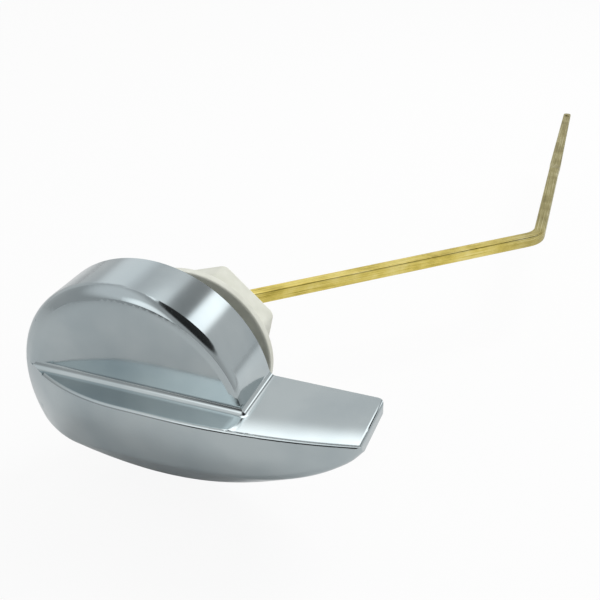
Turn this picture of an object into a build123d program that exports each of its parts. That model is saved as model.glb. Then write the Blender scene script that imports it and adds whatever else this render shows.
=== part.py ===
from build123d import *
import math
import os

# Cistern lever, millimetres.
# Origin on the spindle axis at the outside face of the tank wall.
# +Y runs into the tank, +X along the handle's tail, +Z up.

# Hub of the handle, set a little off the spindle
hub_radius = 27.5
hub_left = 1.2
hub_up = 2.1
hub_gap = 0.6
wall_depth = 10.3
face_depth = 14.2
face_inset = 2.1
casting_wall = 2.6
pocket_depth = 11.0

# Domed lower front and tail
nose_depth = 21.4
rim_rise = 1.07
dome_shift = 2.0
tail_touch_angle = -75.0
tail_bend_start = 12.0
tail_plan_radius = 154.0
shelf_height = 4.8
tail_reach = 52.3
tail_tip_thickness = 2.6
keel_shift = 5.0
keel_clearance = 0.4
# Shares of the nose's depth and of the hub's radius, from the back edge to the front
keel_profile = ((0.0, 1.036), (0.467, 0.752), (0.748, 0.541), (1.056, 0.1455))

# Edges of the handle
ledge_round = 0.8
keel_round = 3.0
rim_round = 3.0
face_round = 5.0
foot_round = 1.5
corner_round = 1.6

# Spindle, clip and stop
spindle_radius = 5.0
spindle_end = 30.6
boss_radius = 8.0
running_clearance = 0.06
end_float = 0.2
clip_thickness = 1.0
clip_radius = 7.4
groove_depth = 0.9
lever_travel = 40.0
stop_radius = 16.0
stop_size = 3.2
stop_gap = 0.3
rib_thickness = 2.0

# Bush, washer and nut
flange_radius = 19.0
flange_thickness = 2.4
washer_thickness = 1.8
shank_radius = 9.5
shank_end = 21.5
thread_clearance = 0.1
nut_front = 12.6
nut_back = 26.1
nut_flats = 28.4
nut_flange_radius = 20.0
nut_flange_thickness = 2.2
nut_turn = 47.7

# Brass arm and its screw
bar_size = 3.2
bar_socket_start = 15.0
first_corner = 35.3
elbow = (68.6, 98.7)
tip = (64.0, 215.6)
bend_radius = 8.0
blade_length = 64.0
blade_width = 3.6
blade_thickness = 1.9
tip_width = 2.7
tip_thickness = 1.4
chain_hole_radius = 0.8
chain_hole_inset = 3.2
screw_radius = 1.5
screw_place = 28.4
socket_clearance = 0.05

hub_back = -hub_gap
face_radius = hub_radius - face_inset
dome_rise = nose_depth - wall_depth - rim_rise
dome_radius = ((hub_radius + dome_shift) ** 2 + dome_rise ** 2) / (2 * dome_rise)
flange_front = -washer_thickness - flange_thickness
boss_end = flange_front - end_float
clip_start = shank_end + end_float


def facing(y):
    """Plane across the spindle axis whose normal points at the user."""
    return Plane(origin=(0, y, 0), x_dir=(1, 0, 0), z_dir=(0, -1, 0))


def slab(sketch, y_front, y_back):
    """Sketch drawn in X and Z, made solid between two depths."""
    return extrude(facing(y_back) * sketch, amount=y_back - y_front)


def disc(radius, y_front, y_back):
    return slab(Circle(radius), y_front, y_back)


def block(x0, x1, y0, y1, z0, z1):
    middle = ((x0 + x1) / 2, (y0 + y1) / 2, (z0 + z1) / 2)
    return Pos(*middle) * Box(x1 - x0, y1 - y0, z1 - z0)


def tail_touch():
    """Point of the hub circle where the underside of the tail leaves it as a tangent."""
    turn = math.radians(tail_touch_angle)
    return hub_radius * math.cos(turn), hub_radius * math.sin(turn)


def tail_outline():
    """Front view of the tail: flat top, and a bowed underside that leaves the hub circle as a tangent."""
    start = tail_touch()
    end = (tail_reach, shelf_height - tail_tip_thickness)
    bow = TangentArc(start, end, tangent=(-start[1], start[0]))
    rest = Polyline(end, (tail_reach, shelf_height), (0, shelf_height), (0, 0), start)
    return make_face(bow + rest)


def keel_face(drop):
    """Everything below an arc that sags by the drop and ends at the underside of the tail's tip."""
    tip_z = shelf_height - tail_tip_thickness - keel_clearance
    half = tail_reach - keel_shift
    rise = tip_z + drop
    radius = (half * half + rise * rise) / (2 * rise)

    def height(x):
        return radius - drop - math.sqrt(radius * radius - (x - keel_shift) ** 2)

    left = -1.22 * hub_radius
    right = 1.015 * tail_reach
    arc = ThreePointArc((left, height(left)), (keel_shift, -drop), (right, height(right)))
    deep = -3 * hub_radius
    rest = Polyline((right, height(right)), (right, deep), (left, deep), (left, height(left)))
    return make_face(arc + rest)


def keel():
    """Space under the handle, curving up from the hub's back edge to the front of the nose."""
    sections = []
    for depth, drop in keel_profile:
        sections.append(facing(hub_back - depth * nose_depth) * keel_face(drop * hub_radius))
    return loft(sections)


def shared(some, others):
    """Edges where a face of one group meets a face of the other."""
    found = ShapeList()
    for face in some:
        for other in others:
            found += [edge for edge in face.edges() if any(edge.is_same(twin) for twin in other.edges())]
    return found


def nose_ball():
    """Ball whose surface is the left of the domed front."""
    return Pos(dome_shift, hub_back - nose_depth + dome_radius, 0) * Sphere(dome_radius)


def left_end(ball):
    """Left half of the hub under a ball, with the rim rounded into the hub wall."""
    far = 4 * hub_radius
    half = disc(hub_radius, hub_back - far, hub_back) & block(-far, dome_shift, -far, far, -far, far) & ball
    walls = half.faces().filter_by(GeomType.CYLINDER)
    return fillet(shared(half.faces().filter_by(GeomType.SPHERE), walls), rim_round)


def dome():
    """Front of the lower handle: ball on the left, barrel in the middle, bent barrel along the tail."""
    far = 4 * hub_radius
    centre = hub_back - nose_depth + dome_radius
    bend_centre = hub_back - nose_depth + tail_plan_radius
    stock = slab(Circle(hub_radius) + tail_outline(), hub_back - nose_depth - 1, hub_back)
    barrel = Pos(0, centre, 0) * (Rot(0, 90, 0) * Cylinder(dome_radius, far))
    bend = Pos(tail_bend_start, bend_centre, 0) * Torus(tail_plan_radius - dome_radius, dome_radius)
    middle = stock & block(dome_shift, tail_bend_start, -far, far, -far, far) & barrel
    right = stock & block(tail_bend_start, far, -far, far, -far, far) & bend
    fronts = right.faces().filter_by(GeomType.TORUS)
    others = right.faces().filter_by(GeomType.TORUS, reverse=True)
    under = others.filter_by(lambda face: face.normal_at().Z < -0.3)
    right = fillet(shared(under, fronts), keel_round)
    return left_end(nose_ball()) + middle + right


def face_rim():
    """Radius of the circle where the ball meets the flat face."""
    return math.sqrt(dome_radius ** 2 - (dome_radius - nose_depth + face_depth) ** 2)


def behind_bevel():
    """Room behind the bevel from hub wall to flat face, which stays just outside the ball on the left."""
    slope = face_rim() / (dome_radius - nose_depth + face_depth)
    bevel = 0.97 * slope * (face_inset + dome_shift)
    wide_y = hub_back - face_depth + 2 * bevel
    wide_end = facing(wide_y) * Pos(-dome_shift, 0) * Circle(hub_radius + face_inset)
    face_end = facing(hub_back - face_depth) * Pos(dome_shift, 0) * Circle(face_radius)
    return disc(4 * hub_radius, wide_y, hub_back) + loft([wide_end, face_end], ruled=True)


def upper_body():
    """Hub above the shelf: bevelled towards the flat face, with its left end flush with the nose."""
    far = 4 * hub_radius
    cap = nose_ball() & disc(far, hub_back - face_depth, hub_back)
    cap = fillet(cap.edges().sort_by(Axis.Y)[0], face_round) & behind_bevel()
    left = left_end(nose_ball()) & cap
    right = disc(hub_radius, hub_back - nose_depth, hub_back) & block(dome_shift, far, -far, far, -far, far)
    right = right & cap
    return (left - below(shelf_height)) + (right - below(shelf_height))


def lower_body():
    """Domed front and tail up to the shelf, with the edge above the keel rounded."""
    solid = dome() - keel()
    under = solid.faces().filter_by(GeomType.BSPLINE).sort_by(SortBy.AREA)[-1]
    front = ShapeList()
    for face in solid.faces():
        hub_wall = face.geom_type == GeomType.CYLINDER and face.radius < dome_radius
        if face.geom_type != GeomType.PLANE and not hub_wall and not face.is_same(under):
            front.append(face)
    solid = fillet(shared([under], front), keel_round) & below(shelf_height)
    rear_corner = solid.edges().filter_by(Axis.Z).sort_by(Axis.X)[-1]
    return fillet(rear_corner, corner_round) - ledge_waste()


def below(z):
    far = 4 * hub_radius
    return block(-far, far, -far, far, -far, z)


def foot_strips():
    """Concave roundings where the flat face and the hub wall stand on the shelf."""
    face_y = hub_back - face_depth
    top = shelf_height + foot_round
    right = dome_shift + math.sqrt(face_radius ** 2 - shelf_height ** 2)
    centre_y = face_y - foot_round
    along = block(-hub_radius, right, centre_y, face_y + 1, shelf_height, top)
    along -= Pos(0, centre_y, top) * (Rot(0, 90, 0) * Cylinder(foot_round, 4 * hub_radius))
    along = (along & dome()) - run_out(top)
    centre_x = math.sqrt((hub_radius + foot_round) ** 2 - top ** 2)
    touch_z = top * hub_radius / (hub_radius + foot_round)
    beside = block(hub_radius - 2, centre_x, face_y, hub_back, shelf_height, touch_z)
    beside -= Pos(centre_x, 0, top) * (Rot(90, 0, 0) * Cylinder(foot_round, 4 * hub_radius))
    middle = foot_round * (1 - math.sqrt(0.5))
    hollow_arc = ThreePointArc((foot_round, 0), (middle, middle), (0, foot_round))
    profile = make_face(Polyline((0, foot_round), (0, 0), (foot_round, 0)) + hollow_arc)
    upright = Plane(origin=(right, face_y, shelf_height), x_dir=(0, -1, 0), z_dir=(-1, 0, 0))
    corner = revolve(upright * profile, Axis((right, face_y, 0), (0, 0, 1)), revolution_arc=90)
    return along + beside + corner


def run_out(top):
    """Wedge that lets the rounding under the flat face sink into the shelf at the face's left end."""
    far = 4 * hub_radius
    rim = face_rim()
    flat = rim - face_round * math.tan(math.asin(rim / dome_radius) / 2)
    tip_x = dome_shift - math.sqrt(rim ** 2 - shelf_height ** 2)
    flat_x = dome_shift - math.sqrt(flat ** 2 - shelf_height ** 2)
    corners = [(flat_x, top), (flat_x, top + 1), (-far, top + 1), (-far, shelf_height), (tip_x, shelf_height)]
    return slab(Polygon(*corners, align=None), hub_back - far, hub_back)


def ledge_waste():
    """What is left outside the rounded front edge of the shelf and of the tail's tip."""
    far = 4 * hub_radius
    centre_y = hub_back - nose_depth + dome_radius
    inner_z = shelf_height - ledge_round
    inner = math.sqrt((dome_radius - ledge_round) ** 2 - inner_z ** 2)
    low = inner_z * dome_radius / (dome_radius - ledge_round)
    profile = Pos(inner, low) * Rectangle(far, far, align=(Align.MIN, Align.MIN))
    profile -= Pos(inner, inner_z) * Circle(ledge_round)
    rise = nose_depth - face_depth - foot_round - ledge_round
    start = math.degrees(math.asin(math.sqrt(2 * dome_radius * rise - rise ** 2) / dome_radius))
    upright = Plane(origin=(dome_shift, centre_y, 0), x_dir=(0, -1, 0), z_dir=(-1, 0, 0))
    waste = revolve(upright * profile, Axis((dome_shift, centre_y, 0), (0, 0, -1)), revolution_arc=start)
    waste += extrude(upright * profile, amount=dome_shift - tail_bend_start)
    bend_y = hub_back - nose_depth + tail_plan_radius
    across = Plane(origin=(tail_bend_start, centre_y, 0), x_dir=(0, -1, 0), z_dir=(-1, 0, 0))
    waste += revolve(across * profile, Axis((tail_bend_start, bend_y, 0), (0, 0, 1)), revolution_arc=30)
    corner = Pos(tail_reach - ledge_round, shelf_height - ledge_round)
    end = corner * Rectangle(far, far, align=(Align.MIN, Align.MIN)) - corner * Circle(ledge_round)
    return waste + slab(end, hub_back - far, hub_back)


def shell():
    """Outside of the handle before it is hollowed."""
    return lower_body() + upper_body() + foot_strips()


def hollow():
    """Space behind the hub and the tail."""
    bottom = hub_back - pocket_depth
    room = disc(hub_radius - casting_wall, bottom, hub_back)
    room += slab(offset(tail_outline(), -casting_wall, kind=Kind.INTERSECTION), bottom, hub_back)
    return room - Pos(0, 0, casting_wall * 1.25) * keel()


def handle():
    place = Pos(-hub_left, 0, hub_up)
    room = place * hollow()
    bottom = hub_back - pocket_depth
    half = rib_thickness / 2
    rib_end = (bottom + boss_end) / 2
    ribs = block(-2 * hub_radius, tail_reach, bottom, rib_end, -half, half)
    ribs += block(-half, half, bottom, rib_end, -2 * hub_radius, 2 * hub_radius)
    casting = place * shell() - room + (ribs & room)
    casting += disc(boss_radius, bottom, boss_end)
    casting += disc(spindle_radius, bottom, spindle_end)
    stop_tip = -washer_thickness - stop_gap
    casting += block(-stop_size / 2, stop_size / 2, bottom, stop_tip,
                     stop_radius - stop_size / 2, stop_radius + stop_size / 2)
    groove = disc(spindle_radius + 1, clip_start, clip_start + clip_thickness)
    groove -= disc(spindle_radius - groove_depth, clip_start, clip_start + clip_thickness)
    casting -= groove
    socket = bar_size / 2 + socket_clearance
    casting -= block(-socket, socket, bar_socket_start, spindle_end + 1, -socket, socket)
    upward = (Align.CENTER, Align.CENTER, Align.MIN)
    hole = Cylinder(screw_radius + socket_clearance, 2 * spindle_radius, align=upward)
    return casting - Pos(0, screw_place, 0) * hole


def bush():
    spin = spindle_radius + running_clearance
    solid = disc(flange_radius, flange_front, -washer_thickness)
    solid += disc(shank_radius, -washer_thickness, shank_end)
    inner = stop_radius - stop_size / 2
    side = math.degrees(math.asin((stop_size / 2 + stop_gap) / inner))
    corners = [(0, 0)]
    for turn in (90 - side, 90 + lever_travel / 2, 90 + lever_travel + side):
        angle = math.radians(turn)
        corners.append((2 * flange_radius * math.cos(angle), 2 * flange_radius * math.sin(angle)))
    sector = Polygon(*corners, align=None) - Circle(inner - 2 * stop_gap)
    notch = slab(sector, flange_front - 1, -washer_thickness)
    solid -= notch
    solid -= disc(spin, flange_front - 1, shank_end + 1)
    end = solid.edges().filter_by(GeomType.CIRCLE).filter_by(lambda e: abs(e.radius - shank_radius) < 0.01)
    return chamfer(end.sort_by(Axis.Y)[-1], 0.8)


def sealing_washer():
    ring = disc(flange_radius - 0.5, -washer_thickness, 0)
    return ring - disc(shank_radius + 0.2, -washer_thickness, 0)


def nut():
    hexagon = RegularPolygon(nut_flats / 2, 6, major_radius=False, rotation=nut_turn - 30)
    shoulder = nut_front + nut_flange_thickness
    solid = slab(hexagon, shoulder, nut_back)
    solid = fillet(solid.edges().filter_by(Axis.Y), 2.2)
    solid = fillet(solid.faces().sort_by(Axis.Y)[-1].edges(), 1.0)
    rim = disc(nut_flange_radius, nut_front, shoulder)
    rim = fillet(rim.edges().filter_by(GeomType.CIRCLE), 0.5)
    solid += rim
    bore = disc(shank_radius + thread_clearance, nut_front - 1, nut_back + 1)
    solid -= bore
    mouths = solid.edges().filter_by(GeomType.CIRCLE)
    mouths = mouths.filter_by(lambda e: abs(e.radius - shank_radius - thread_clearance) < 0.01)
    return chamfer(mouths, 0.6)


def retaining_clip():
    inner = spindle_radius - groove_depth + socket_clearance
    ring = Circle(clip_radius) - Circle(inner)
    ring -= Pos(0, -clip_radius) * Rectangle(1.5 * inner, 2 * clip_radius)
    gap = socket_clearance
    return slab(ring, clip_start + gap, clip_start + clip_thickness - gap)


def arm():
    """Square bar with two bends in a level plane and an end pressed flat."""
    run = Vector(tip[0] - elbow[0], tip[1] - elbow[1], 0).normalized()
    end = Vector(tip[0], tip[1], 0)
    start = end - run * blade_length
    corners = [(0, bar_socket_start, 0), (0, first_corner, 0), (elbow[0], elbow[1], 0), tuple(start)]
    path = FilletPolyline(*corners, radius=bend_radius)
    bar = bar_outline(bar_size, bar_size)
    solid = sweep(Plane(origin=corners[0], x_dir=(1, 0, 0), z_dir=(0, 1, 0)) * bar, path)

    def across(distance):
        point = start + run * distance
        return Plane(origin=tuple(point), x_dir=(run.Y, -run.X, 0), z_dir=tuple(run))

    neck = 1.6 * bar_size
    pressed = across(neck) * bar_outline(blade_width, blade_thickness)
    blade = loft([across(0) * bar, pressed], ruled=True)
    blade += loft([pressed, across(blade_length) * bar_outline(tip_width, tip_thickness)], ruled=True)
    nose = Pos(0, 0, blade_length - tip_width) * nose_cutter()
    blade -= across(0) * nose
    hole = Rot(90, 0, 0) * Cylinder(chain_hole_radius, 4 * bar_size)
    hole = Pos(0, 0, blade_length - chain_hole_inset) * hole
    return solid + blade - across(0) * hole


def bar_outline(width, height):
    return RectangleRounded(width, height, 0.35)


def nose_cutter():
    """What is left outside the round end of the pressed tip."""
    size = 4 * tip_width
    radius = 0.55 * tip_width
    plate = Box(size, size, size, align=(Align.CENTER, Align.CENTER, Align.MIN))
    keep = Rot(90, 0, 0) * Cylinder(radius, 2 * size)
    return Pos(0, 0, tip_width - radius) * (plate - keep)


def arm_screw():
    bottom = bar_size / 2
    top = spindle_radius - 0.4
    shaft = Cylinder(screw_radius, top - bottom, align=(Align.CENTER, Align.CENTER, Align.MIN))
    key = extrude(RegularPolygon(0.75, 6, major_radius=False), amount=top)
    shaft -= Pos(0, 0, 0.45 * (top - bottom)) * key
    return Pos(0, screw_place, bottom) * shaft


nodes = {
    "handle": handle(),
    "bush": bush(),
    "sealing_washer": sealing_washer(),
    "nut": nut(),
    "retaining_clip": retaining_clip(),
    "arm": arm(),
    "arm_screw": arm_screw(),
}
os.makedirs("parts", exist_ok=True)
for name, shape in nodes.items():
    export_step(shape, f"parts/{name}.step")
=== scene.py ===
import math

import bmesh
import bpy
from mathutils import Matrix, Vector


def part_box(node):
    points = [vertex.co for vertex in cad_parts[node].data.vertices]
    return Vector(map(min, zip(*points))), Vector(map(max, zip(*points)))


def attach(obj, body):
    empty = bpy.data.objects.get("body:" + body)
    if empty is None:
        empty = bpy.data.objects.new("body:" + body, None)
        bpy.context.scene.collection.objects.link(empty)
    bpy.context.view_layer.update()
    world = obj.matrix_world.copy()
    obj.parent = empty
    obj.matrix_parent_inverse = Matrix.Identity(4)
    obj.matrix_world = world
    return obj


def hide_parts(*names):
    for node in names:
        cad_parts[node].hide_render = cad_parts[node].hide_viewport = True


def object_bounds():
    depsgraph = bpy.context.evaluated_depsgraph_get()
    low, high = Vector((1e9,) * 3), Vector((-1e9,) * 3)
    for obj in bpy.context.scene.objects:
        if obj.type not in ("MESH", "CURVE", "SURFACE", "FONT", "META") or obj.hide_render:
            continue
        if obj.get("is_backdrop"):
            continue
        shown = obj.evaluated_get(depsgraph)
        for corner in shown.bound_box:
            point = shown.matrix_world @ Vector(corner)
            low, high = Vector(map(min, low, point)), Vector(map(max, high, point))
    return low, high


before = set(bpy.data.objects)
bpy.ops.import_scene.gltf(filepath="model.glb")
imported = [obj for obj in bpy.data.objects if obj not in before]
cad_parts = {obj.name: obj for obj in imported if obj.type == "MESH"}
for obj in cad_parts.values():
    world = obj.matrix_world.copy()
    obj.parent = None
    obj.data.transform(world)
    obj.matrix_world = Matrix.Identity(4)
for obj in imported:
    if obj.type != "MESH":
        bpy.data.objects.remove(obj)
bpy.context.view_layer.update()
scene = bpy.context.scene

# Lengths are in metres. How near two places have to be to count as the same, to be joined into one, and to be
# left whole by a cut
SAME = 1e-5
JOINED = 1e-6
LEFT_WHOLE = 1e-7

# The handle's nose, and the flat face of the hub: how far it lies behind the nose, the slope of its draft,
# and the least turn to the front by which its triangles are known
NOSE_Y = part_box("handle")[0][1]
FACE_BEHIND_NOSE = 0.0072
FACE_Y = NOSE_Y + FACE_BEHIND_NOSE
FACE_DRAFT = 0.08
FACE_TURN = 0.999

# The bevel round the flat face: its depth, its mean width, how far it is set to the right, and how much the
# plating softens it
BEVEL_DEPTH = 0.00245
BEVEL_WIDTH = 0.0021
BEVEL_SHIFT = 0.002
BEVEL_SOFTNESS = 0.6

# What tells the bevel's triangles from others at the same depth: the least they look outwards, the most they
# look down, and how far their slope may be off
BEVEL_LEAST_OUT = 0.3
BEVEL_MOST_DOWN = 0.2
BEVEL_SLOPE_SLACK = 0.05

# The top of the tail: its height and the skin that counts as the top, where its front starts to bend back
# and the radius of that bend
SHELF_Z = 0.0069
SHELF_SKIN = (0.00015, 0.00005)
TAIL_BEND_START = 0.0108
TAIL_PLAN_RADIUS = 0.154

# The strip where the top of the tail falls away: how far its front lies behind the nose, its width and depth,
# and the stretch over which it begins
FALL_BEHIND_NOSE = 0.0003
FALL_WIDTH = 0.0072
FALL_DEPTH = 0.0003
FALL_START = (0.024, 0.027)

# The rounding along the front edge of the ledge and the tail: its radius, the depth and height of its middle
# along the straight stretch, and the upright axes of the arcs on the left and on the right of that stretch
EDGE_ROUND = 0.0008
EDGE_Y = -0.021032
EDGE_Z = 0.0061
BALL_AXIS = Vector((0.0008, 0.026397))
BEND_AXIS = Vector((TAIL_BEND_START, 0.132))

# What tells the rounding's corners from others: how far off its radius and how well turned they may be
EDGE_SLACK = 3e-5
EDGE_TURN = 0.7

# The threaded shank. A root over one makes the bottom of the groove flat
SHANK_RADIUS = 0.0095
SHANK_SLACK = 2e-4
THREAD_START = 0.0004
THREAD_END = 0.0207
THREAD_PITCH = 0.0015
THREAD_DEPTH = 0.00055
THREAD_ROOT = 1.3
RINGS_PER_TURN = 8
CRISP_ANGLE = math.radians(28)

# The corners of the brass bar's run, the shift that sets the draw lines of its sides apart, and the stretch
# past the elbow over which the gold goes dull
BAR_RUN = [
    Vector((0, 0.015, 0)),
    Vector((0, 0.0353, 0)),
    Vector((0.0686, 0.0987, 0)),
    Vector((0.064, 0.2156, 0)),
]
SIDE_SHIFT = 1.7
DULL_START = (0.09, 0.125)

# The colours of each finish, from its dark places to its light ones
CHROME = ((0.45, 0.515, 0.54), (0.545, 0.605, 0.62))
IVORY = ((0.66, 0.67, 0.58), (0.81, 0.82, 0.74))
BRIGHT_BRASS = ((0.34, 0.25, 0.03), (0.82, 0.67, 0.16), (1.0, 0.90, 0.44))
DULL_BRASS = ((0.22, 0.18, 0.06), (0.44, 0.39, 0.17), (0.74, 0.70, 0.45))
RUBBER = ((0.018, 0.018, 0.02), (0.055, 0.055, 0.058))
STEEL = ((0.42, 0.42, 0.43), (0.60, 0.60, 0.61))
WHITE = (1, 1, 1, 1)

# The height of the ripple in the plating, and the hair scratches and draw lines as waves per metre each way
RIPPLE_DEPTH = 0.00007
HAIR_WAVES = (2600, 240, 900)
DRAW_WAVES = (60, 3200, 1)

# The camera: its turn to the right, lift and roll in radians, its place, and its lens and film in millimetres
CAMERA_TURN = 0.38166956
CAMERA_LIFT = 0.52851533
CAMERA_ROLL = -0.02016426
CAMERA_PLACE = (0.0872, -0.1358, 0.1116)
CAMERA_LENS = 51.32
CAMERA_FILM = 36
CAMERA_NEAREST = 0.005

# The table top: half its size, how far it reaches in front of the spindle, the gap under the lever, its grey
# and dullness, and the share of plain white that the camera sees
FLOOR_HALF = 3.0
FLOOR_IN_FRONT = 0.45
FLOOR_GAP = 0.0002
FLOOR_GREY = 0.8
FLOOR_DULLNESS = 0.9
FLOOR_WHITE = 0.92

# The soft lamp, which points at the spindle
LAMP_PLACE = Vector((0.22, 0.32, 0.46))
LAMP_SIZE = (0.28, 0.24)
LAMP_POWER = 1.5

# The plain light on everything that doesn't mirror: its level from the sides, and how much stronger it is
# from behind and weaker from the front
PLAIN_LEVEL = 0.64
PLAIN_LEAN = 0.36

# The walls that the plating mirrors, lighter behind, and a white panel high behind: its foot as the sine of
# its height, and its two sides as bearings in radians
WALL_LEVEL = 0.46
BACK_WALL = (-0.2, 0.4)
BACK_WALL_GAIN = 0.18
PANEL_FOOT = (0.64, 0.75)
PANEL_LEFT = (-1.0, -0.5)
PANEL_RIGHT = (0.34, 0.05)
PANEL_LEVEL = 1.2

# Round patches on those walls: bearing from straight behind towards the right, height, and the radii where a
# patch is full and where it has faded, all in degrees. Last comes the light that a bright patch adds, or the
# share that a dark one takes away
BRIGHT_PATCHES = (
    (-128, 52, 12, 34, 0.4),
    (-170, 43, 12, 23, 0.75),
    (28.5, 32.5, 3.5, 9, 1.15),
    (-36, 25, 3, 16, 0.4),
    (-15, 41, 4, 14, 0.1),
)
DARK_PATCHES = (
    (76, 58, 25, 32, 0.95),
    (180, 8, 19, 29, 0.92),
    (13, 41, 4, 10, 0.5),
)


class Wire:
    """A socket in a node tree, on which sums and products add Math nodes."""

    def __init__(self, tree, socket):
        self.tree = tree
        self.socket = socket

    def math(self, operation, *values):
        inputs = dict(enumerate((self, *values)))
        return node(self.tree, "ShaderNodeMath", {"operation": operation}, inputs)

    def __add__(self, other):
        return self.math("ADD", other)

    def __radd__(self, other):
        return self.math("ADD", other)

    def __sub__(self, other):
        return self.math("SUBTRACT", other)

    def __rsub__(self, other):
        return node(self.tree, "ShaderNodeMath", {"operation": "SUBTRACT"}, {0: other, 1: self})

    def __mul__(self, other):
        return self.math("MULTIPLY", other)

    def __rmul__(self, other):
        return self.math("MULTIPLY", other)

    def __truediv__(self, other):
        return self.math("DIVIDE", other)

    def clamp(self):
        """Held between nought and one."""
        return self.math("MAXIMUM", 0).math("MINIMUM", 1)

    def step(self, low, high):
        """Nought below the first value, one past the second, with a soft change between."""
        settings = {"interpolation_type": "SMOOTHSTEP"}
        return node(self.tree, "ShaderNodeMapRange", settings, {0: self, 1: low, 2: high})

    def other(self, output):
        """Another output of the same node."""
        return Wire(self.tree, self.socket.node.outputs[output])


def node(tree, kind, settings=None, inputs=None, output=0):
    """Add a node, set it up, join its inputs and hand back one of its outputs."""
    made = tree.nodes.new(kind)
    for name, value in (settings or {}).items():
        if name == "stops":
            set_stops(made.color_ramp, value)
        else:
            setattr(made, name, value)
    for name, value in (inputs or {}).items():
        if isinstance(value, Wire):
            tree.links.new(value.socket, made.inputs[name])
        else:
            made.inputs[name].default_value = value
    return Wire(tree, made.outputs[output])


def set_stops(colour_ramp, stops):
    while len(colour_ramp.elements) < len(stops):
        colour_ramp.elements.new(0.5)
    for element, (place, colour) in zip(colour_ramp.elements, stops):
        element.position = place
        element.color = (*colour, 1)


def new_finish(name, metallic=0.0):
    material = bpy.data.materials.new(name)
    material.use_nodes = True
    shader = material.node_tree.nodes["Principled BSDF"]
    shader.inputs["Metallic"].default_value = metallic
    return material, material.node_tree, shader


def join(wire, shader, socket):
    wire.tree.links.new(wire.socket, shader.inputs[socket])


def noise(place, scale, detail, roughness=0.55):
    inputs = {"Vector": place, "Scale": scale, "Detail": detail, "Roughness": roughness}
    return node(place.tree, "ShaderNodeTexNoise", {}, inputs)


def ramp(value, colours, low, high):
    """Colours spread evenly between a low and a high value."""
    gap = (high - low) / (len(colours) - 1)
    stops = [(low + gap * count, colour) for count, colour in enumerate(colours)]
    return node(value.tree, "ShaderNodeValToRGB", {"stops": stops}, {"Fac": value})


def object_place(tree):
    return node(tree, "ShaderNodeTexCoord", output="Object")


def stretched(place, scale):
    return node(place.tree, "ShaderNodeMapping", {}, {"Vector": place, "Scale": scale})


def bump(height, strength, distance):
    inputs = {"Height": height, "Strength": strength, "Distance": distance}
    return node(height.tree, "ShaderNodeBump", {}, inputs)


def chrome_finish():
    """Plated zinc: a cool bright metal with polishing haze, a slight ripple and hair scratches."""
    material, tree, shader = new_finish("chrome_plate", metallic=1.0)
    place = object_place(tree)
    haze = noise(place, scale=90, detail=5)
    tint = noise(place, scale=48, detail=3)
    hairs = noise(stretched(place, HAIR_WAVES), scale=1.0, detail=2)
    ripple = noise(place, scale=55, detail=1) * RIPPLE_DEPTH
    draft = node(tree, "ShaderNodeAttribute", {"attribute_name": "draft"}, output="Fac")
    height = ripple + draft - tail_fall(place)
    join(ramp(tint, CHROME, low=0.36, high=0.64), shader, "Base Color")
    join(0.07 + haze * 0.08 + hairs * 0.02, shader, "Roughness")
    join(bump(height, strength=1.0, distance=1.0), shader, "Normal")
    return material


def tail_fall(place):
    """How far the top of the tail falls away towards its front edge, where polishing has rolled it over."""
    x = node(place.tree, "ShaderNodeSeparateXYZ", {}, {0: place})
    past_bend = (x - TAIL_BEND_START).math("MAXIMUM", 0.0)
    edge = NOSE_Y + FALL_BEHIND_NOSE + past_bend * past_bend / (2 * TAIL_PLAN_RADIUS)
    near = (1 - (x.other("Y") - edge) / FALL_WIDTH).clamp()
    skin_low, skin_high = (SHELF_Z - depth for depth in SHELF_SKIN)
    top = x.other("Z").step(skin_low, skin_high) * x.step(*FALL_START)
    return near * near * top * FALL_DEPTH


def ivory_finish():
    """Moulded plastic with flow marks and a little grime in its texture."""
    material, tree, shader = new_finish("ivory_moulding")
    place = object_place(tree)
    cloud = noise(place, scale=140, detail=4)
    grain = noise(place, scale=1500, detail=3)
    join(ramp(cloud, IVORY, low=0.3, high=0.7), shader, "Base Color")
    join(0.36 + cloud * 0.18, shader, "Roughness")
    join(bump(grain, strength=0.12, distance=0.0002), shader, "Normal")
    return material


def brass_finish():
    """Drawn bar: bright gold, dull past the elbow, with draw lines along its run and a patchy tarnish."""
    material, tree, shader = new_finish("drawn_brass", metallic=1.0)
    along = node(tree, "ShaderNodeUVMap", {"uv_map": "run"})
    lines = noise(stretched(along, DRAW_WAVES), scale=1.0, detail=5, roughness=0.65)
    patches = noise(object_place(tree), scale=190, detail=5)
    tone = (lines * 0.65 + patches * 0.35).clamp()
    past_elbow = node(tree, "ShaderNodeSeparateXYZ", {}, {0: along}).step(*DULL_START)
    bright = ramp(tone, BRIGHT_BRASS, low=0.34, high=0.66)
    dull = ramp(tone, DULL_BRASS, low=0.34, high=0.66)
    mixed = {0: past_elbow, 6: bright, 7: dull}
    join(node(tree, "ShaderNodeMix", {"data_type": "RGBA"}, mixed, output=2), shader, "Base Color")
    join(0.22 + patches * 0.22 + past_elbow * 0.08, shader, "Roughness")
    join(bump(lines, strength=0.5, distance=0.0001), shader, "Normal")
    return material


def rubber_finish():
    """Black rubber with a faint grey bloom."""
    material, tree, shader = new_finish("seal_rubber")
    place = object_place(tree)
    bloom = noise(place, scale=220, detail=5)
    grain = noise(place, scale=2500, detail=2)
    join(ramp(bloom, RUBBER, low=0.3, high=0.75), shader, "Base Color")
    join(0.6 + bloom * 0.2, shader, "Roughness")
    join(bump(grain, strength=0.2, distance=0.0001), shader, "Normal")
    return material


def steel_finish():
    """Plain steel with dull patches."""
    material, tree, shader = new_finish("plain_steel", metallic=1.0)
    patches = noise(object_place(tree), scale=400, detail=4)
    join(ramp(patches, STEEL, low=0.3, high=0.7), shader, "Base Color")
    join(0.24 + patches * 0.16, shader, "Roughness")
    return material


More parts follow.
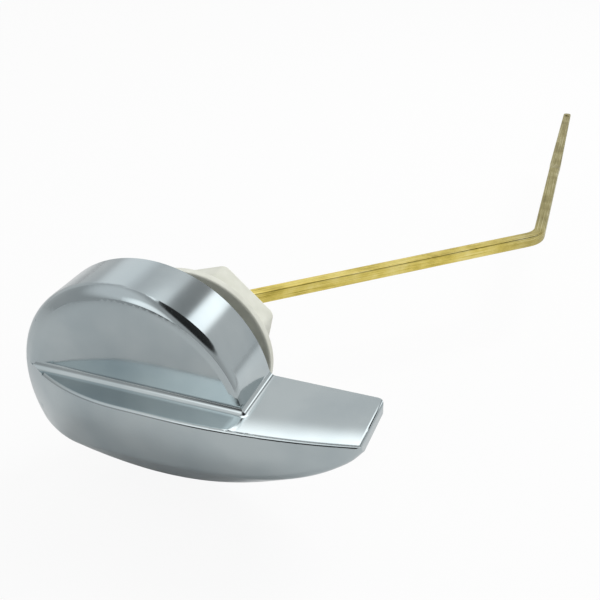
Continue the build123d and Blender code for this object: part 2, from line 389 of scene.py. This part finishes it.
def corner_place(mesh, corner):
    """Where a corner of a face lies."""
    return mesh.vertices[mesh.loops[corner].vertex_index].co


def solid_copy(part, name):
    """A joined copy of a part's mesh, under a name of its own, with the shading of its curved faces kept."""
    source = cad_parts[part].data
    shape = bmesh.new()
    shape.from_mesh(source)
    origin = shape.faces.layers.int.new("origin")
    for face in shape.faces:
        face[origin] = face.index
    bmesh.ops.remove_doubles(shape, verts=shape.verts, dist=JOINED)
    mesh = bpy.data.meshes.new(name)
    shape.to_mesh(mesh)
    shape.free()
    mesh.shade_smooth()
    normals = [None] * len(mesh.loops)
    for face, old in zip(mesh.polygons, mesh.attributes["origin"].data):
        old_corners = source.polygons[old.value].loop_indices
        for corner in face.loop_indices:
            place = corner_place(mesh, corner)
            nearest = min(old_corners, key=lambda c: (corner_place(source, c) - place).length)
            normals[corner] = source.corner_normals[nearest].vector
    mesh.attributes.remove(mesh.attributes["origin"])
    mesh.normals_split_custom_set(normals)
    piece = bpy.data.objects.new(name, mesh)
    scene.collection.objects.link(piece)
    return piece


def dress(part, name, body, material):
    """A finished piece that stands for a part and moves with its body."""
    piece = solid_copy(part, name)
    piece.data.materials.clear()
    piece.data.materials.append(material)
    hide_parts(part)
    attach(piece, body)
    return piece


def draft_map(piece):
    """The flat face leans forward by the few degrees that let a casting leave its mould, kept as a height."""
    mesh = piece.data
    layer = mesh.attributes.new("draft", "FLOAT", "CORNER")
    for face in mesh.polygons:
        flat = face.normal.y < -FACE_TURN and abs(face.center.y - FACE_Y) < SAME
        for corner in face.loop_indices:
            layer.data[corner].value = FACE_DRAFT * corner_place(mesh, corner).z if flat else 0.0


def edge_middle(place):
    """The middle of the rounding along the front edge of the ledge and the tail, beside a place on it."""
    if BALL_AXIS.x <= place.x <= BEND_AXIS.x:
        return Vector((place.x, EDGE_Y, EDGE_Z))
    axis = BALL_AXIS if place.x < BALL_AXIS.x else BEND_AXIS
    way = Vector((place.x, place.y)) - axis
    return (axis + way.normalized() * (axis.y - EDGE_Y)).to_3d() + Vector((0, 0, EDGE_Z))


def true_edge(piece):
    """Exact shading for the rounded front edge, where the long thin triangles would give a ragged shine."""
    mesh = piece.data
    normals = [Vector(normal.vector) for normal in mesh.corner_normals]
    for corner, normal in enumerate(normals):
        place = corner_place(mesh, corner)
        off = place - edge_middle(place)
        outside = off.z > -SAME and off.normalized().dot(normal) > EDGE_TURN
        if outside and abs(off.length - EDGE_ROUND) < EDGE_SLACK:
            normals[corner] = off.normalized()
    mesh.normals_split_custom_set(normals)


def soften_bevel(piece):
    """The plating rounds the bevel of the hub a little, towards the wall and towards the flat face."""
    mesh = piece.data
    to_front = Vector((0, -1, 0))
    normals = [Vector(normal.vector) for normal in mesh.corner_normals]
    for face in mesh.polygons:
        mean = sum((normals[corner] for corner in face.loop_indices), Vector()).normalized()
        out = math.hypot(mean.x, mean.z)
        inside = FACE_Y - SAME < face.center.y < FACE_Y + BEVEL_DEPTH + SAME
        if not inside or out < BEVEL_LEAST_OUT or face.normal.z < -BEVEL_MOST_DOWN:
            continue
        slope = (BEVEL_SHIFT * mean.x / out - BEVEL_WIDTH) / BEVEL_DEPTH
        if abs(mean.y / out - slope) > BEVEL_SLOPE_SLACK:
            continue
        to_wall = Vector((mean.x / out, 0, mean.z / out))
        for corner in face.loop_indices:
            share = (corner_place(mesh, corner).y - FACE_Y) / BEVEL_DEPTH
            pull = to_wall * share + to_front * (1 - share)
            normals[corner] = (normals[corner] + pull * BEVEL_SOFTNESS).normalized()
    mesh.normals_split_custom_set(normals)


def run_map(piece):
    """A map that gives each corner its distance along the bar and its place across it."""
    mesh = piece.data
    layer = mesh.uv_layers.new(name="run")
    places = []
    for vertex in mesh.vertices:
        best = None
        start = 0.0
        for first, second in zip(BAR_RUN, BAR_RUN[1:]):
            way = second - first
            share = max(0.0, min(1.0, (vertex.co - first).dot(way) / way.length_squared))
            off = vertex.co - first - way * share
            if best is None or off.length < best[0]:
                side = off.cross(way.normalized()).z
                best = (off.length, start + share * way.length, side + SIDE_SHIFT * vertex.co.z)
            start += way.length
        places.append(best[1:])
    for loop in mesh.loops:
        layer.data[loop.index].uv = places[loop.vertex_index]


def cut_thread(piece):
    """Slice the shank into rings, sink a helix into its wall and keep the sharp edges crisp."""
    mesh = piece.data
    shape = bmesh.new()
    shape.from_mesh(mesh)
    rings = int((THREAD_END - THREAD_START) / THREAD_PITCH * RINGS_PER_TURN)
    for ring in range(rings + 1):
        place = THREAD_START + (THREAD_END - THREAD_START) * ring / rings
        everything = shape.verts[:] + shape.edges[:] + shape.faces[:]
        bmesh.ops.bisect_plane(shape, geom=everything, dist=LEFT_WHOLE,
                               plane_co=(0, place, 0), plane_no=(0, 1, 0))
    for vertex in shape.verts:
        x, y, z = vertex.co
        radius = math.hypot(x, z)
        if abs(radius - SHANK_RADIUS) > SHANK_SLACK or not THREAD_START < y < THREAD_END:
            continue
        turn = (y / THREAD_PITCH + math.atan2(z, x) / (2 * math.pi)) % 1.0
        depth = THREAD_DEPTH * min(1.0, THREAD_ROOT * abs(2 * turn - 1))
        fade = min(1.0, (y - THREAD_START) / THREAD_PITCH, (THREAD_END - y) / THREAD_PITCH)
        factor = 1 - depth * fade / radius
        vertex.co.x *= factor
        vertex.co.z *= factor
    shape.to_mesh(mesh)
    shape.free()
    mesh.shade_smooth()
    mesh.set_sharp_from_angle(angle=CRISP_ANGLE)


def build_pieces():
    handle = dress("handle", "plated_handle", "lever", chrome_finish())
    true_edge(handle)
    soften_bevel(handle)
    draft_map(handle)
    ivory = ivory_finish()
    steel = steel_finish()
    bush = dress("bush", "threaded_bush", "fixing", ivory)
    cut_thread(bush)
    dress("nut", "hexagon_nut", "fixing", ivory)
    dress("sealing_washer", "rubber_seal", "fixing", rubber_finish())
    dress("retaining_clip", "spindle_clip", "lever", steel)
    arm = dress("arm", "brass_arm", "lever", brass_finish())
    run_map(arm)
    dress("arm_screw", "grub_screw", "lever", steel)


def place_camera():
    """The viewpoint of the photograph, worked out from the rims, the ledge and the bar."""
    level = math.cos(CAMERA_LIFT)
    right = Vector((math.cos(CAMERA_TURN), math.sin(CAMERA_TURN), 0))
    ahead, aside = math.cos(CAMERA_TURN) * level, math.sin(CAMERA_TURN) * level
    back = Vector((aside, -ahead, math.sin(CAMERA_LIFT)))
    up = back.cross(right)
    across = right * math.cos(CAMERA_ROLL) + up * math.sin(CAMERA_ROLL)
    upright = up * math.cos(CAMERA_ROLL) - right * math.sin(CAMERA_ROLL)
    spin = Matrix((across, upright, back)).transposed()
    data = bpy.data.cameras.new("camera")
    data.sensor_width = CAMERA_FILM
    data.lens = CAMERA_LENS
    data.clip_start = CAMERA_NEAREST
    camera = bpy.data.objects.new("camera", data)
    scene.collection.objects.link(camera)
    camera.matrix_world = Matrix.Translation(CAMERA_PLACE) @ spin.to_4x4()
    scene.camera = camera


def place_floor(low):
    """A pale table top, which ends a short way in front of the handle and looks white to the camera."""
    shape = bmesh.new()
    bmesh.ops.create_grid(shape, x_segments=1, y_segments=1, size=FLOOR_HALF)
    bmesh.ops.translate(shape, verts=shape.verts, vec=(0, FLOOR_HALF - FLOOR_IN_FRONT, low))
    mesh = bpy.data.meshes.new("floor")
    shape.to_mesh(mesh)
    shape.free()
    floor = bpy.data.objects.new("floor", mesh)
    scene.collection.objects.link(floor)
    material, tree, shader = new_finish("pale_floor")
    shader.inputs["Base Color"].default_value = (FLOOR_GREY, FLOOR_GREY, FLOOR_GREY, 1)
    shader.inputs["Roughness"].default_value = FLOOR_DULLNESS
    camera = node(tree, "ShaderNodeLightPath", output="Is Camera Ray")
    clear = camera.other("Is Transmission Ray")
    seen = (camera * FLOOR_WHITE + clear * FLOOR_WHITE).clamp()
    glow = node(tree, "ShaderNodeEmission", {}, {"Color": WHITE, "Strength": 1.0})
    surface = Wire(tree, shader.outputs[0])
    blend = node(tree, "ShaderNodeMixShader", {}, {0: seen, 1: surface, 2: glow})
    join(blend, tree.nodes["Material Output"], "Surface")
    mesh.materials.append(material)
    floor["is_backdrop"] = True


def light_world():
    """A plain light, and for the plating to mirror, grey walls with a white panel and patches."""
    world = bpy.data.worlds.new("studio")
    scene.world = world
    world.use_nodes = True
    tree = world.node_tree
    ahead = node(tree, "ShaderNodeTexCoord", output="Generated")
    x = node(tree, "ShaderNodeSeparateXYZ", {}, {0: ahead})
    y = x.other("Y")
    z = x.other("Z")
    bearing = x.math("ARCTAN2", y)

    def patch(*angles):
        """One inside a round patch of the surroundings, nought outside it."""
        azimuth, height, inner, outer = (math.radians(angle) for angle in angles)
        level = math.cos(height)
        facing = x * (math.sin(azimuth) * level) + y * (math.cos(azimuth) * level) + z * math.sin(height)
        return facing.step(math.cos(outer), math.cos(inner))

    panel = z.step(*PANEL_FOOT) * bearing.step(*PANEL_LEFT) * bearing.step(*PANEL_RIGHT)
    mirrored = WALL_LEVEL + y.step(*BACK_WALL) * BACK_WALL_GAIN + panel * PANEL_LEVEL
    for *angles, gain in BRIGHT_PATCHES:
        mirrored = mirrored + patch(*angles) * gain
    for *angles, share in DARK_PATCHES:
        mirrored = mirrored * (1 - patch(*angles) * share)
    camera = node(tree, "ShaderNodeLightPath", output="Is Camera Ray")
    glossy = camera.other("Is Glossy Ray")
    seen = (camera + camera.other("Is Transmission Ray")).clamp()
    plain = (1 - seen - glossy).clamp()
    strength = mirrored * glossy + plain * (PLAIN_LEVEL + y * PLAIN_LEAN) + seen
    background = tree.nodes["Background"]
    background.inputs["Color"].default_value = WHITE
    join(strength, background, "Strength")


def place_lamp():
    """A soft lamp above and behind, on the right, which the plating doesn't mirror."""
    data = bpy.data.lights.new("key_box", "AREA")
    data.shape = "RECTANGLE"
    data.size, data.size_y = LAMP_SIZE
    data.energy = LAMP_POWER
    lamp = bpy.data.objects.new("key_box", data)
    scene.collection.objects.link(lamp)
    lamp.location = LAMP_PLACE
    lamp.rotation_euler = (-LAMP_PLACE).to_track_quat("-Z", "Y").to_euler()
    lamp.visible_glossy = False


build_pieces()
place_camera()
place_floor(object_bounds()[0][2] - FLOOR_GAP)
light_world()
place_lamp()

scene.view_settings.view_transform = "Standard"
